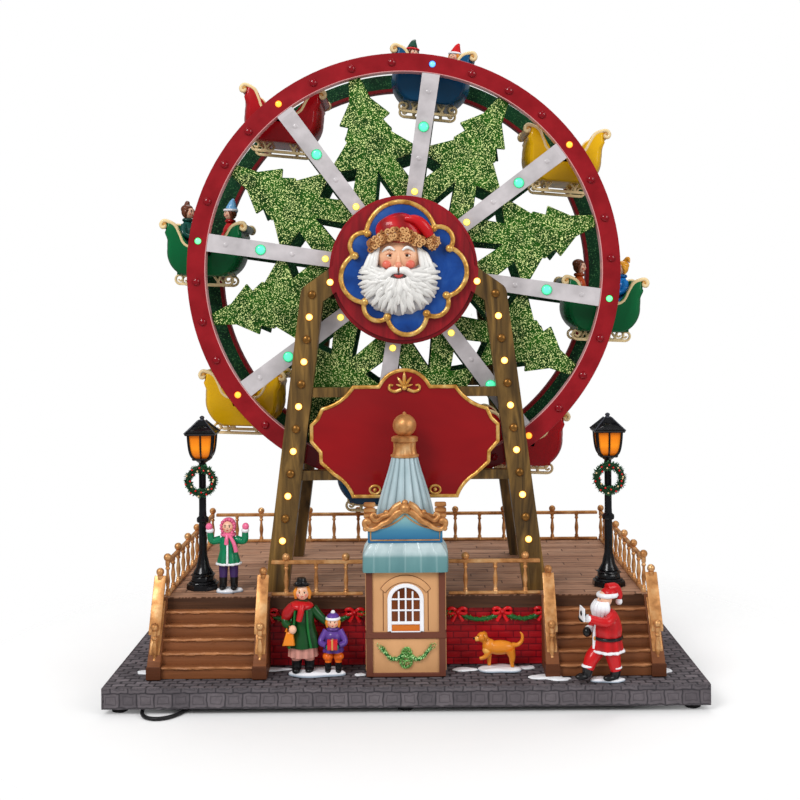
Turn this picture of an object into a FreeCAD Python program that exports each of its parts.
import FreeCAD, Part
import math
import os
import Sketcher
from FreeCAD import Matrix, Placement, Rotation, Vector

doc = FreeCAD.newDocument("ferris_wheel")

# Driving sizes, in millimetres and degrees. X runs to the right, Y to the back, Z up.
SIZES = {
    # the plinth, its cover and its feet
    "base_width": 360,
    "base_depth": 230,
    "base_thick": 12.4,
    "base_wall": 3,
    "cover_thick": 2,
    "foot_height": 3.6,
    "foot_radius": 5,
    "foot_inset": 9,
    "screw_radius": 1.5,
    "screw_inset": 34,
    "boss_radius": 4,
    "trough_front": 20,
    "trough_length": 42,
    "trough_width": 14,
    "trough_rise": 6,
    # the platform with its deck and stairs
    "front_walk": 40,
    "deck_width": 304,
    "deck_depth": 177,
    "deck_thick": 3,
    "platform_height": 44,
    "fascia_height": 8,
    "wall_inset": 3,
    "wall_thick": 2.5,
    "stair_run": 25,
    "step_count": 6,
    "flight_width": 56,
    "flight_centre": 120.5,
    "stringer_width": 8,
    # the gold railings
    "rail_height": 20.5,
    "rail_thick": 3,
    "rail_width": 3.6,
    "ball_radius": 2.6,
    "baluster_radius": 1.3,
    "rail_inset": 2.5,
    "handrail_width": 8,
    "newel_height": 28.8,
    "rail_pitch": 37.4,
    # the booth
    "booth_width": 48,
    "booth_depth": 26,
    "booth_height": 64,
    "awning_overhang": 1.8,
    "awning_depth": 36,
    "awning_skirt": 10.4,
    "awning_rise": 6.4,
    "spire_radius": 18.6,
    "spire_depth": 15.2,
    "spire_height": 50.6,
    "finial_radius": 7.2,
    "window_width": 22,
    "window_height": 28.5,
    # the lamps
    "lamp_height": 111,
    "lamp_spread": 130.6,
    "lamp_setback": 24,
    "lamp_base": 10.6,
    "pole_radius": 2.7,
    "wreath_radius": 8,
    "wreath_thick": 3,
    # the wheel
    "wheel_radius": 140.2,
    "wheel_turn": 36.6,
    "car_count": 8,
    "rim_width": 12,
    "rim_thick": 8,
    "rim_gap": 64,
    "hub_height": 264,
    "wheel_setback": 66,
    "hub_radius": 47.8,
    "hub_thick": 2.4,
    "spoke_width": 11.6,
    "spoke_thick": 3.6,
    "tree_thick": 4.2,
    "stud_radius": 2.2,
    "light_radius": 2.2,
    "lens_radius": 3.4,
    "pin_radius": 1.6,
    "axle_radius": 3,
    "barrel_radius": 14,
    # the two frames
    "frame_thick": 10,
    "leg_width": 14.6,
    "foot_spread": 82.1,
    "shoulder_spread": 58.2,
    "shoulder_drop": 16,
    "head_radius": 45,
    "bar_height": 6,
    "lower_bar_rise": 73.3,
    "upper_bar_rise": 126,
    "light_pitch": 28.6,
    # the sign and the medallion
    "sign_half_width": 60,
    "sign_height": 82,
    "sign_thick": 3.6,
    "medallion_radius": 44,
    "medallion_thick": 3.6,
    "medallion_turn": 4,
    # the sleighs
    "sleigh_length": 53,
    "sleigh_width": 46,
    "sleigh_wall": 2,
    "sleigh_drop": 22,
    "seat_drop": 14,
    "runner_drop": 28.5,
    "runner_thick": 2.4,
    "runner_gap": 24,
    # the drive
    "gear_teeth": 40,
    "pinion_teeth": 10,
    "gear_module": 1,
    "gear_thick": 6,
    "gear_room": 12,
    "mesh_slack": 0.5,
    "bush_wall": 2.5,
    "motor_radius": 12,
    "motor_length": 20,
    "case_wall": 2,
    "case_depth": 28,
    # the electrical pieces
    "board_length": 60,
    "board_width": 40,
    "board_thick": 1.6,
    "speaker_radius": 24,
    "speaker_height": 13,
    "switch_travel": 3,
    "switch_width": 6,
    "switch_height": 4,
    "knob_radius": 7,
    "knob_thick": 5,
    "knob_shaft": 2,
    # the figures
    "girl_height": 47,
    "woman_height": 61,
    "child_height": 40,
    "santa_height": 59,
    "dog_length": 29,
    "rider_height": 40,
    # the lead
    "cord_diameter": 2.4,
    "relief_length": 14,
    "adaptor_length": 46,
    "adaptor_width": 28,
    "adaptor_height": 34,
    "gland_radius": 2.6,
    "gland_length": 6,
    "coil_turns": 12,
    "coil_layers": 4,
    # the clearances
    "running_gap": 0.05,
    "seat_gap": 0.2,
    "side_gap": 0.3,
}

sheet = doc.addObject("Spreadsheet::Sheet", "sizes")
for row, (name, number) in enumerate(SIZES.items(), 1):
    sheet.set(f"A{row}", name)
    sheet.set(f"B{row}", str(number))
    sheet.setAlias(f"B{row}", name)
doc.recompute()


def value(text):
    """The number that an expression on the sheet's cells gives."""
    return float(sheet.evalExpression(text))


def size(name):
    """The number in one cell of the sheet."""
    return float(getattr(sheet, name))


def number(name):
    """A whole number in one cell of the sheet."""
    return int(round(getattr(sheet, name)))


# Places that several pieces share, as expressions on the sheet
BASE_FRONT = "(-sizes.base_depth / 2)"
PLINTH_TOP = "(sizes.foot_height + sizes.base_thick)"
DECK_TOP = f"({PLINTH_TOP} + sizes.platform_height)"
DECK_FRONT = f"({BASE_FRONT} + sizes.front_walk)"
DECK_BACK = f"({DECK_FRONT} + sizes.deck_depth)"
WALL_FRONT = f"({DECK_FRONT} + sizes.wall_inset)"
WALL_BACK = f"({DECK_BACK} - sizes.wall_inset)"
WALL_SIDE = "(sizes.deck_width / 2 - sizes.wall_inset)"
WHEEL_FRONT = f"({BASE_FRONT} + sizes.wheel_setback)"
FRONT_GAP = f"({WHEEL_FRONT} + sizes.rim_thick)"
REAR_GAP = f"({FRONT_GAP} + sizes.rim_gap)"
WHEEL_BACK = f"({REAR_GAP} + sizes.rim_thick)"
FRAME_FRONT = f"({WHEEL_FRONT} - 4 - sizes.frame_thick)"
REAR_FRAME = f"({WHEEL_BACK} + sizes.gear_room)"
CASE_FRONT = f"({REAR_FRAME} + sizes.frame_thick)"
MESH = "(sizes.gear_module * (sizes.gear_teeth + sizes.pinion_teeth) / 2 + sizes.mesh_slack)"
MOTOR_HEIGHT = f"(sizes.hub_height - {MESH})"

plinth_top = value(PLINTH_TOP)
deck_top = value(DECK_TOP)
deck_front = value(DECK_FRONT)
deck_back = value(DECK_BACK)
wall_front = value(WALL_FRONT)
wheel_front = value(WHEEL_FRONT)
front_gap = value(FRONT_GAP)
rear_gap = value(REAR_GAP)
frame_front = value(FRAME_FRONT)
rear_frame = value(REAR_FRAME)
hub = size("hub_height")
gap = size("seat_gap")
run = size("running_gap")
pieces = []


# Bound primitives, booleans and bodies

def keep(thing, label):
    """Name a finished sub-part and put it on the list of those that are written."""
    thing.Label = label
    pieces.append(thing)
    return thing


def bind(thing, **texts):
    """Bind a primitive's sizes, and x, y, z of its place, to expressions on the sheet."""
    for key, text in texts.items():
        thing.setExpression(f"Placement.Base.{key}" if key in "xyz" else key, text)
    return thing


def box(name, length, width, height, x, y, z):
    """A box from its sizes and its lowest corner, all expressions."""
    return bind(doc.addObject("Part::Box", name), Length=length, Width=width, Height=height, x=x, y=y, z=z)


def rod(name, radius, height, x, y, z, along="z"):
    """A cylinder that stands on x, y, z, or with along="y" runs to the back from there."""
    thing = doc.addObject("Part::Cylinder", name)
    if along == "y":
        thing.Placement.Rotation = Rotation(Vector(1, 0, 0), -90)
    return bind(thing, Radius=radius, Height=height, x=x, y=y, z=z)


def fuse(name, things):
    """All the given objects in one."""
    joined = doc.addObject("Part::MultiFuse", name)
    joined.Shapes = things
    joined.Refine = True
    return joined


def cut(name, base, *tools):
    """The base less one tool, or less several fused tools."""
    result = doc.addObject("Part::Cut", name)
    result.Base = base
    result.Tool = tools[0] if len(tools) == 1 else fuse(f"{name}_tools", list(tools))
    return result


def compound(name, things):
    """Separate solids that share a node."""
    group = doc.addObject("Part::Compound", name)
    group.Links = things
    return group


def feature(label, shape, x=0, z=0, tip_by=0):
    """A sub-part whose shape is computed from the sheet's sizes, placed at x and z, tipped in its plane."""
    thing = doc.addObject("Part::Feature", label)
    thing.Shape = shape
    thing.Placement = Placement(Vector(x, 0, z), Rotation(Vector(0, 1, 0), tip_by))
    return keep(thing, label)


def sketch_in(body, role, name):
    """A sketch on one of the body's own origin planes."""
    plane = next(item for item in body.Origin.OriginFeatures if item.Role == role)
    sketch = body.newObject("Sketcher::SketchObject", name)
    sketch.AttachmentSupport = (plane, [""])
    sketch.MapMode = "FlatFace"
    return sketch


def ring_in(sketch, radius, centre=("0", "0")):
    """A circle whose radius and whose centre, an x and a y, are bound."""
    x, y = value(centre[0]), value(centre[1])
    circle = sketch.addGeometry(Part.Circle(Vector(x, y, 0), Vector(0, 0, 1), value(radius)))
    rules = [(("Radius", circle, value(radius)), radius)]
    for way, number_at, text in (("DistanceX", x, centre[0]), ("DistanceY", y, centre[1])):
        if number_at:
            rules.append(((way, -1, 1, circle, 3, number_at), text))
        else:
            axis = -2 if way == "DistanceX" else -1
            sketch.addConstraint(Sketcher.Constraint("PointOnObject", circle, 3, axis))
    for rule, text in rules:
        bound = sketch.addConstraint(Sketcher.Constraint(*rule))
        sketch.setExpression(f"Constraints[{bound}]", text)


def frame_in(sketch, width, depth):
    """A rectangle about the origin whose width and depth are bound."""
    half_x, half_y = value(width) / 2, value(depth) / 2
    corners = [Vector(x * half_x, y * half_y, 0) for x, y in ((-1, -1), (1, -1), (1, 1), (-1, 1))]
    first = sketch.GeometryCount
    for here, there in zip(corners, corners[1:] + corners[:1]):
        sketch.addGeometry(Part.LineSegment(here, there))
    for side in range(4):
        sketch.addConstraint(Sketcher.Constraint("Coincident", first + side, 2, first + (side + 1) % 4, 1))
        level = "Horizontal" if side % 2 == 0 else "Vertical"
        sketch.addConstraint(Sketcher.Constraint(level, first + side))
    sketch.addConstraint(Sketcher.Constraint("Symmetric", first, 1, first + 2, 1, -1, 1))
    for side, text, way in ((0, width, "DistanceX"), (1, depth, "DistanceY")):
        bound = sketch.addConstraint(Sketcher.Constraint(way, first + side, 1, first + side, 2, value(text)))
        sketch.setExpression(f"Constraints[{bound}]", text)


def pad(body, sketch, name, length):
    """A pad of a bound length on the sketch."""
    made = body.newObject("PartDesign::Pad", name)
    made.Profile = sketch
    made.setExpression("Length", length)
    return made


def pocket(body, sketch, name, length, reverse):
    """A pocket of a bound depth, which has to take material away."""
    doc.recompute()
    before = body.Shape.Volume
    made = body.newObject("PartDesign::Pocket", name)
    made.Profile = sketch
    made.setExpression("Length", length)
    made.Reversed = reverse
    doc.recompute()
    if body.Shape.Volume > before - 0.1:
        raise RuntimeError(f"{name} cuts nothing")
    return made


# Plain shapes in numbers

def block(x0, x1, y0, y1, z0, z1):
    """A box between two corners."""
    return Part.makeBox(x1 - x0, y1 - y0, z1 - z0, Vector(x0, y0, z0))


def disc(radius, y0, y1, x, z):
    """A cylinder that runs along Y."""
    return Part.makeCylinder(radius, y1 - y0, Vector(x, y0, z), Vector(0, 1, 0))


def outline(items, y):
    """A closed wire at y: each item is a corner (x, z), or an arc's middle and its end."""
    corners = [item[-1] if isinstance(item[0], tuple) else item for item in items]
    edges = []
    for index, item in enumerate(items):
        start = Vector(corners[index - 1][0], y, corners[index - 1][1])
        end = Vector(corners[index][0], y, corners[index][1])
        if isinstance(item[0], tuple):
            edges.append(Part.Arc(start, Vector(item[0][0], y, item[0][1]), end).toShape())
        else:
            edges.append(Part.makeLine(start, end))
    return Part.Wire(edges)


def plate(items, y, thick):
    """A plate that faces along Y, with the outline given."""
    return Part.Face(outline(items, y)).extrude(Vector(0, thick, 0))


def side_plate(points, x, thick):
    """A plate that faces along X, with corners (y, z)."""
    corners = [Vector(x, y, z) for y, z in points]
    return Part.Face(Part.makePolygon(corners + corners[:1])).extrude(Vector(thick, 0, 0))


def turned(profile, x, y, z):
    """A turned piece: a profile of (radius, height), closed on its upright axis at x, y, and spun."""
    points = [Vector(x + radius, y, z + height) for radius, height in profile]
    points = [Vector(x, y, points[0].z)] + points + [Vector(x, y, points[-1].z)]
    return Part.Face(Part.makePolygon(points + points[:1])).revolve(Vector(x, y, 0), Vector(0, 0, 1), 360)


def egg(x, y, z, rx, ry, rz):
    """A ball stretched to three half widths, its seam to the back."""
    stretch = Matrix()
    stretch.scale(rx, ry, rz)
    ball = Part.makeSphere(1)
    ball.rotate(Vector(), Vector(0, 0, 1), 90)
    ball = ball.transformGeometry(stretch)
    ball.translate(Vector(x, y, z))
    return ball


def bar(start, end, radius):
    """A round bar between two points."""
    way = end - start
    return Part.makeCylinder(radius, way.Length, start, way)


def beam(start, end, width, y, thick):
    """A flat beam between two points (x, z), cut square at its ends."""
    way = Vector(end[0] - start[0], 0, end[1] - start[1]).normalize()
    side = Vector(way.z, 0, -way.x) * (width / 2)
    first, last = Vector(start[0], y, start[1]), Vector(end[0], y, end[1])
    corners = [first + side, last + side, last - side, first - side]
    return Part.Face(Part.makePolygon(corners + corners[:1])).extrude(Vector(0, thick, 0))


def together(shapes):
    """One shape from several that meet."""
    return shapes[0].multiFuse(shapes[1:]).removeSplitter()


def group(shapes):
    """Separate solids side by side."""
    return Part.makeCompound(shapes)


def mirrored(shape):
    """The same shape on the other side of the middle plane."""
    return shape.mirror(Vector(0, 0, 0), Vector(1, 0, 0))


def polar(radius, degrees):
    """The point (x, z) at a radius and angle about the wheel's axis."""
    turn = math.radians(degrees)
    return radius * math.cos(turn), hub + radius * math.sin(turn)


# Plinth: a moulded tray, open underneath, with a recess for the lead
RECESS_X = "(-sizes.base_width / 2 + 52)"
RECESS_FRONT = f"({BASE_FRONT} + sizes.trough_front)"
SCREWS = [
    (f"{side} * (sizes.base_width / 2 - sizes.screw_inset)", f"{row} * (sizes.base_depth / 2 - sizes.screw_inset)")
    for side in (-1, 0, 1) for row in (-1, 1)
]
plinth_body = doc.addObject("PartDesign::Body", "plinth")
plinth_outline = sketch_in(plinth_body, "XY_Plane", "plinth_outline")
frame_in(plinth_outline, "sizes.base_width", "sizes.base_depth")
pad(plinth_body, plinth_outline, "plinth_block", "sizes.base_thick")
plinth_inside = sketch_in(plinth_body, "XY_Plane", "plinth_inside")
frame_in(plinth_inside, "sizes.base_width - 2 * sizes.base_wall", "sizes.base_depth - 2 * sizes.base_wall")
pocket(plinth_body, plinth_inside, "plinth_hollow", "sizes.base_thick - sizes.base_wall", True)
bosses_sketch = sketch_in(plinth_body, "XY_Plane", "screw_bosses")
bosses_sketch.setExpression("AttachmentOffset.Base.z", "sizes.cover_thick + sizes.seat_gap")
for place in SCREWS:
    ring_in(bosses_sketch, "sizes.boss_radius", place)
    ring_in(bosses_sketch, "sizes.screw_radius + sizes.running_gap", place)
BOSS_TALL = "sizes.base_thick - sizes.base_wall - sizes.cover_thick - sizes.seat_gap"
pad(plinth_body, bosses_sketch, "bosses", BOSS_TALL)
bind(plinth_body, z="sizes.foot_height")
keep(plinth_body, "plinth")

# Base cover: closes the tray; the lead leaves through a trough in it
cover_plate = box(
    "cover_plate",
    "sizes.base_width - 2 * sizes.base_wall - 2 * sizes.seat_gap",
    "sizes.base_depth - 2 * sizes.base_wall - 2 * sizes.seat_gap",
    "sizes.cover_thick",
    "-sizes.base_width / 2 + sizes.base_wall + sizes.seat_gap",
    f"{BASE_FRONT} + sizes.base_wall + sizes.seat_gap",
    "sizes.foot_height",
)
trough_outside = box(
    "trough_outside", "sizes.trough_width", "sizes.trough_length", "sizes.trough_rise",
    f"{RECESS_X} - sizes.trough_width / 2", RECESS_FRONT, "sizes.foot_height",
)
trough_inside = box(
    "trough_inside", "sizes.trough_width - 3", "sizes.trough_length - 3", "sizes.trough_rise - 1.4",
    f"{RECESS_X} - sizes.trough_width / 2 + 1.5", f"{RECESS_FRONT} + 1.5", "sizes.foot_height - 0.1",
)
holes = [
    rod(f"screw_hole_{index}", "sizes.screw_radius + sizes.running_gap", "sizes.cover_thick", *place,
        "sizes.foot_height")
    for index, place in enumerate(SCREWS)
]
cover_block = fuse("cover_block", [cover_plate, trough_outside])
keep(cut("cover", cover_block, trough_inside, *holes), "base_cover")

# Cover screws: pan heads under the cover, shanks in the tray
SHANK_LONG = "sizes.base_thick - sizes.base_wall - sizes.seat_gap"
screws = []
for index, place in enumerate(SCREWS):
    screw_head = rod(f"screw_head_{index}", "sizes.screw_radius * 2", "1.4", *place, "sizes.foot_height - 1.4")
    shank = rod(f"shank_{index}", "sizes.screw_radius", SHANK_LONG, *place, "sizes.foot_height")
    screws.append(fuse(f"screw_{index}", [screw_head, shank]))
keep(compound("screws", screws), "cover_screws")

# Feet: six rubber pads under the cover's edge
feet = []
for side in (-1, 0, 1):
    for row in (-1, 1):
        feet.append(
            rod(
                f"foot_{side}_{row}", "sizes.foot_radius", "sizes.foot_height",
                f"{side} * (sizes.base_width / 2 - sizes.foot_inset)",
                f"{row} * (sizes.base_depth / 2 - sizes.foot_inset)", "0",
            )
        )
keep(compound("pads", feet), "feet")

# Platform wall: a brick-faced box under the deck, open at its top, with two openings at the back
SWITCH_X = "60"
SWITCH_Z = f"({PLINTH_TOP} + 24)"
KNOB_X = "90"
wall_block = box(
    "wall_block", f"2 * {WALL_SIDE}", f"{WALL_BACK} - {WALL_FRONT}",
    "sizes.platform_height - sizes.deck_thick", f"-{WALL_SIDE}", WALL_FRONT, PLINTH_TOP,
)
wall_inside = box(
    "wall_inside", f"2 * {WALL_SIDE} - 2 * sizes.wall_thick",
    f"{WALL_BACK} - {WALL_FRONT} - 2 * sizes.wall_thick", "sizes.platform_height",
    f"sizes.wall_thick - {WALL_SIDE}", f"{WALL_FRONT} + sizes.wall_thick", PLINTH_TOP,
)
switch_slot = box(
    "switch_slot", "sizes.switch_width + sizes.switch_travel + 2 * sizes.side_gap", "2 * sizes.wall_thick",
    "sizes.switch_height + 2 * sizes.side_gap", f"{SWITCH_X} - sizes.switch_width / 2 - sizes.side_gap",
    f"{WALL_BACK} - 1.5 * sizes.wall_thick", f"{SWITCH_Z} - sizes.switch_height / 2 - sizes.side_gap",
)
knob_hole = rod(
    "knob_hole", "sizes.knob_shaft + sizes.running_gap", "2 * sizes.wall_thick", KNOB_X,
    f"{WALL_BACK} - 1.5 * sizes.wall_thick", SWITCH_Z, "y",
)
keep(cut("wall", wall_block, wall_inside, switch_slot, knob_hole), "platform_wall")

# Deck: boards on the wall, with a fascia down its front edge
deck_boards = box(
    "deck_boards", "sizes.deck_width", "sizes.deck_depth", "sizes.deck_thick",
    "-sizes.deck_width / 2", DECK_FRONT,
    f"{DECK_TOP} - sizes.deck_thick",
)
fascia = box(
    "fascia", "sizes.deck_width", "sizes.wall_inset - sizes.seat_gap", "sizes.fascia_height",
    "-sizes.deck_width / 2", DECK_FRONT, f"{DECK_TOP} - sizes.fascia_height",
)
keep(fuse("deck_top", [deck_boards, fascia]), "deck")

# Power switch: a slide in the back wall, with a flange inside that keeps it in its slot
switch_cap = box(
    "switch_cap", "sizes.switch_width", "sizes.wall_thick + 4", "sizes.switch_height",
    f"{SWITCH_X} - sizes.switch_width / 2", f"{WALL_BACK} - sizes.wall_thick - sizes.side_gap",
    f"{SWITCH_Z} - sizes.switch_height / 2",
)
switch_flange = box(
    "switch_flange", "sizes.switch_width + 10", "1.6", "sizes.switch_height + 4",
    f"{SWITCH_X} - sizes.switch_width / 2 - 5", f"{WALL_BACK} - sizes.wall_thick - sizes.side_gap - 1.6",
    f"{SWITCH_Z} - sizes.switch_height / 2 - 2",
)
keep(fuse("switch", [switch_cap, switch_flange]), "power_switch")

# Volume knob: a dial outside, its shaft through the wall and a collar inside
DIAL_FRONT = f"{WALL_BACK} + sizes.side_gap"
dial = rod("dial", "sizes.knob_radius", "sizes.knob_thick", KNOB_X, DIAL_FRONT, SWITCH_Z, "y")
dial_shaft = rod(
    "dial_shaft", "sizes.knob_shaft", "sizes.wall_thick + 2 * sizes.side_gap", KNOB_X,
    f"{WALL_BACK} - sizes.wall_thick - sizes.side_gap", SWITCH_Z, "y",
)
dial_collar = rod(
    "dial_collar", "sizes.knob_shaft + 2", "4", KNOB_X,
    f"{WALL_BACK} - sizes.wall_thick - sizes.side_gap - 4", SWITCH_Z, "y",
)
keep(fuse("knob", [dial, dial_shaft, dial_collar]), "volume_knob")

# Circuit board: a panel with its parts, on four stand-offs moulded to it
board_x, board_y = "-80", f"({WALL_BACK} - 60)"
panel = box(
    "panel", "sizes.board_length", "sizes.board_width", "sizes.board_thick", board_x, board_y,
    f"{PLINTH_TOP} + 5"
)
BOARD_TOP = f"{PLINTH_TOP} + 5 + sizes.board_thick"
chip = box("chip", "14", "14", "2", f"{board_x} + 20", f"{board_y} + 12", BOARD_TOP)
store = rod("store", "4", "9", f"{board_x} + 48", f"{board_y} + 28", f"{PLINTH_TOP} + 5 + sizes.board_thick")
posts = [
    rod(f"standoff_{i}_{k}", "2", "5", f"{board_x} + 4 + {i} * (sizes.board_length - 8)",
        f"{board_y} + 4 + {k} * (sizes.board_width - 8)", PLINTH_TOP)
    for i in (0, 1) for k in (0, 1)
]

# Speaker: a basket that faces down on the tray, with its magnet on top, kept with the circuit board
speaker_x, speaker_y = "20", f"({WALL_BACK} - 50)"
basket = rod("basket", "sizes.speaker_radius", "sizes.speaker_height / 2", speaker_x, speaker_y, PLINTH_TOP)
magnet = rod(
    "magnet", "sizes.speaker_radius * 0.55", "sizes.speaker_height", speaker_x, speaker_y, PLINTH_TOP
)
board = fuse("board", [panel, chip, store] + posts)
keep(compound("sound", [board, fuse("sounder", [basket, magnet])]), "sound_unit")


# Stairs: each flight has its treads, two stringers and two newel blocks
rise = size("platform_height") / number("step_count")
stair_front = deck_front - size("stair_run")
stair_back = deck_front - gap
first_riser = stair_front + 2
tread = (stair_back - first_riser) / (number("step_count") - 1)
stringer = size("stringer_width")


def flight_of(centre):
    """A flight about x = centre, from the walk up to the deck."""
    half = size("flight_width") / 2
    points = [(stair_back, plinth_top)]
    for step in range(number("step_count") - 1):
        front = first_riser + step * tread
        points += [(front, plinth_top + step * rise), (front, plinth_top + (step + 1) * rise)]
    points += [(stair_back, plinth_top + (number("step_count") - 1) * rise)]
    treads = side_plate(points, centre - half, 2 * half)
    block_top = plinth_top + rise + 0.6
    slope = [(stair_back, plinth_top), (stair_front, plinth_top), (stair_front, block_top), (stair_back, deck_top)]
    places = [centre + side * (half + stringer / 2) - stringer / 2 for side in (-1, 1)]
    sides = [side_plate(slope, place, stringer) for place in places]
    newels = [
        block(
            centre + side * (half + stringer / 2) - stringer / 2 - 0.4,
            centre + side * (half + stringer / 2) + stringer / 2 + 0.4,
            stair_front - 0.6, stair_front + stringer, plinth_top, block_top,
        )
        for side in (-1, 1)
    ]
    return together([treads] + sides + newels)


centre = size("flight_centre")
feature("stairs", group([flight_of(-centre), flight_of(centre)]))


# Railings: square rails on turned posts that carry balls
rail_mid = size("rail_height")
ball = size("ball_radius")
rail_thick = size("rail_thick")
slim = size("baluster_radius")


def post_of(x, y, z, height, top):
    """A turned post up to a height, with a ball on it if top is true."""
    profile = [
        (slim * 1.7, 0), (slim * 1.7, height * 0.12), (slim, height * 0.2), (slim * 1.6, height * 0.42),
        (slim * 0.9, height * 0.72), (slim * 1.5, height * 0.82), (slim * 1.5, height),
    ]
    post = turned(profile, x, y, z)
    if not top:
        return [post]
    return [post, Part.makeSphere(ball, Vector(x, y, z + height + ball * 0.8))]


def railing(start, end, posts, plain):
    """A straight railing on the deck between two points (x, y), with ball posts and plain posts at distances."""
    (x0, y0), (x1, y1) = start, end
    half = size("rail_width") / 2
    wide_x, wide_y = (half, 0) if x0 == x1 else (0, half)
    low = Vector(min(x0, x1) - wide_x, min(y0, y1) - wide_y, deck_top)
    high = (max(x0, x1) + wide_x, max(y0, y1) + wide_y)
    shapes = [
        block(low.x, high[0], low.y, high[1], deck_top, deck_top + rail_thick * 0.7),
        block(low.x, high[0], low.y, high[1], deck_top + rail_mid - rail_thick / 2,
              deck_top + rail_mid + rail_thick / 2),
    ]
    way = (Vector(x1, y1, 0) - Vector(x0, y0, 0)).normalize()
    for distance in posts + plain:
        place = Vector(x0, y0, 0) + way * distance
        shapes += post_of(place.x, place.y, deck_top, rail_mid + rail_thick / 2, distance in posts)
    return together(shapes)


rail_x = size("deck_width") / 2 - size("rail_inset")
rail_back = deck_back - size("rail_inset")
side_front = deck_front + 5
side_pitch = (rail_back - side_front) / 5
side_rail = railing((rail_x, side_front), (rail_x, rail_back), [side_pitch * k for k in range(6)],
                    [side_pitch * (k + 0.5) for k in range(5)])
feature("railing_sides", group([mirrored(side_rail), side_rail]))

back_start = ball + gap
back_pitch = 2 * rail_x / 8
feature("railing_back", railing(
    (-rail_x + back_start, rail_back), (rail_x - back_start, rail_back),
    [back_pitch * k - back_start for k in range(1, 8)],
    [back_pitch * (k + 0.5) - back_start for k in range(8)],
))

booth_half = size("booth_width") / 2
inner_rail = centre - size("flight_width") / 2 - stringer / 2
front_y = deck_front + size("rail_inset")
rail_end = booth_half + size("awning_overhang") + 1
front_rail = railing((rail_end, front_y), (inner_rail - 4.5, front_y),
                     [size("rail_pitch") * k - rail_end for k in (1, 2)],
                     [size("rail_pitch") * 1.5 - rail_end])
feature("railing_front", group([mirrored(front_rail), front_rail]))


def stair_rail(x):
    """A sloping handrail over one stringer, with a ball post at its foot and one at its head."""
    foot_y, head_y = stair_front + stringer / 2, stair_back - slim * 2
    low, high = plinth_top + size("newel_height"), deck_top + size("newel_height") / 2
    slope = (deck_top - plinth_top - rise - 0.6) / (stair_back - stair_front)
    base = plinth_top + rise + 0.6 + gap
    half = size("handrail_width") / 2

    def sloped(bottom, top, thick):
        points = [(foot_y, bottom), (head_y, top), (head_y, top + thick), (foot_y, bottom + thick)]
        return side_plate(points, x - half, 2 * half)

    string_low = base + slope * (foot_y - stair_front)
    string_high = base + slope * (head_y - stair_front)
    shapes = [sloped(string_low, string_high, 2.2), sloped(low - 3.2, high - 3.2, 3.2)]
    for y, foot, top in ((foot_y, base + slope * stringer / 2, low), (head_y, string_high, high)):
        shapes += post_of(x, y, foot, top - foot, True)
    for share in (0.35, 0.68):
        y = foot_y + (head_y - foot_y) * share
        foot = string_low + (string_high - string_low) * share
        shapes += post_of(x, y, foot + 1, low - 3 + (high - low) * share - foot, False)
    lowest = plinth_top + rise + 0.6 + gap
    under = side_plate(
        [(foot_y - 20, 0), (foot_y - 20, lowest), (stair_front, lowest),
         (stair_back, deck_top + gap), (stair_back, 0)], x - 20, 40,
    )
    return together(shapes).cut(under)


rails = [stair_rail(side * (centre + flank * (size("flight_width") / 2 + stringer / 2)))
         for side in (-1, 1) for flank in (-1, 1)]
feature("stair_rails", group(rails))


# Wall garland: two runs of drooping swags with bows between them, hung under the fascia
def swags(side):
    """Three swags on one side of the booth, each an arc of a tube, with a bow at each end."""
    y = wall_front - 2.2
    top = deck_top - size("fascia_height") - 3
    ends = [booth_half + 5 + index * 17 for index in range(4)]
    shapes = []
    for left, right in zip(ends, ends[1:]):
        arc = Part.Arc(Vector(side * left, y, top), Vector(side * (left + right) / 2, y, top - 4.5),
                       Vector(side * right, y, top)).toShape()
        way = arc.tangentAt(arc.FirstParameter)
        ring = Part.Wire(Part.makeCircle(1.6, arc.valueAt(arc.FirstParameter), way))
        shapes.append(Part.Wire(arc).makePipeShell([ring], True, False))
    for x in ends:
        shapes += [Part.makeSphere(2, Vector(side * x, y, top)), egg(side * x, y, top, 4, 1.8, 2.2)]
    return together(shapes)


feature("wall_garland", group([swags(-1), swags(1)]))

# Booth: a panelled kiosk against the wall, its roof, its crest and its window
BOOTH_FRONT = f"({WALL_FRONT} - sizes.seat_gap - sizes.booth_depth)"
booth_front = value(BOOTH_FRONT)
booth_top = plinth_top + size("booth_height")
window_half = size("window_width") / 2
window_foot = booth_top - 7 - size("window_height")


def arch(half, foot, tall):
    """The outline of an arched opening: a sill, two jambs and a low arch."""
    spring = foot + tall - half * 0.42
    return [(-half, foot), (half, foot), (half, spring), ((0, foot + tall), (-half, spring))]


booth = block(-booth_half, booth_half, booth_front, wall_front - gap, plinth_top, booth_top)
booth_deck = block(-booth_half - 5, booth_half + 5, deck_front - gap, wall_front + 5, deck_top - 9,
                   booth_top + 1)
panel_half = booth_half - 4.6
upper_panel = block(-panel_half, panel_half, booth_front, booth_front + 1, plinth_top + 28, booth_top - 1)
lower_panel = block(-panel_half, panel_half, booth_front, booth_front + 1, plinth_top + 3.6,
                    plinth_top + 24.4)
window_hole = plate(arch(window_half, window_foot, size("window_height")), booth_front, 4)
feature("booth_body", booth.cut(booth_deck).cut(upper_panel).cut(lower_panel).cut(window_hole))

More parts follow.
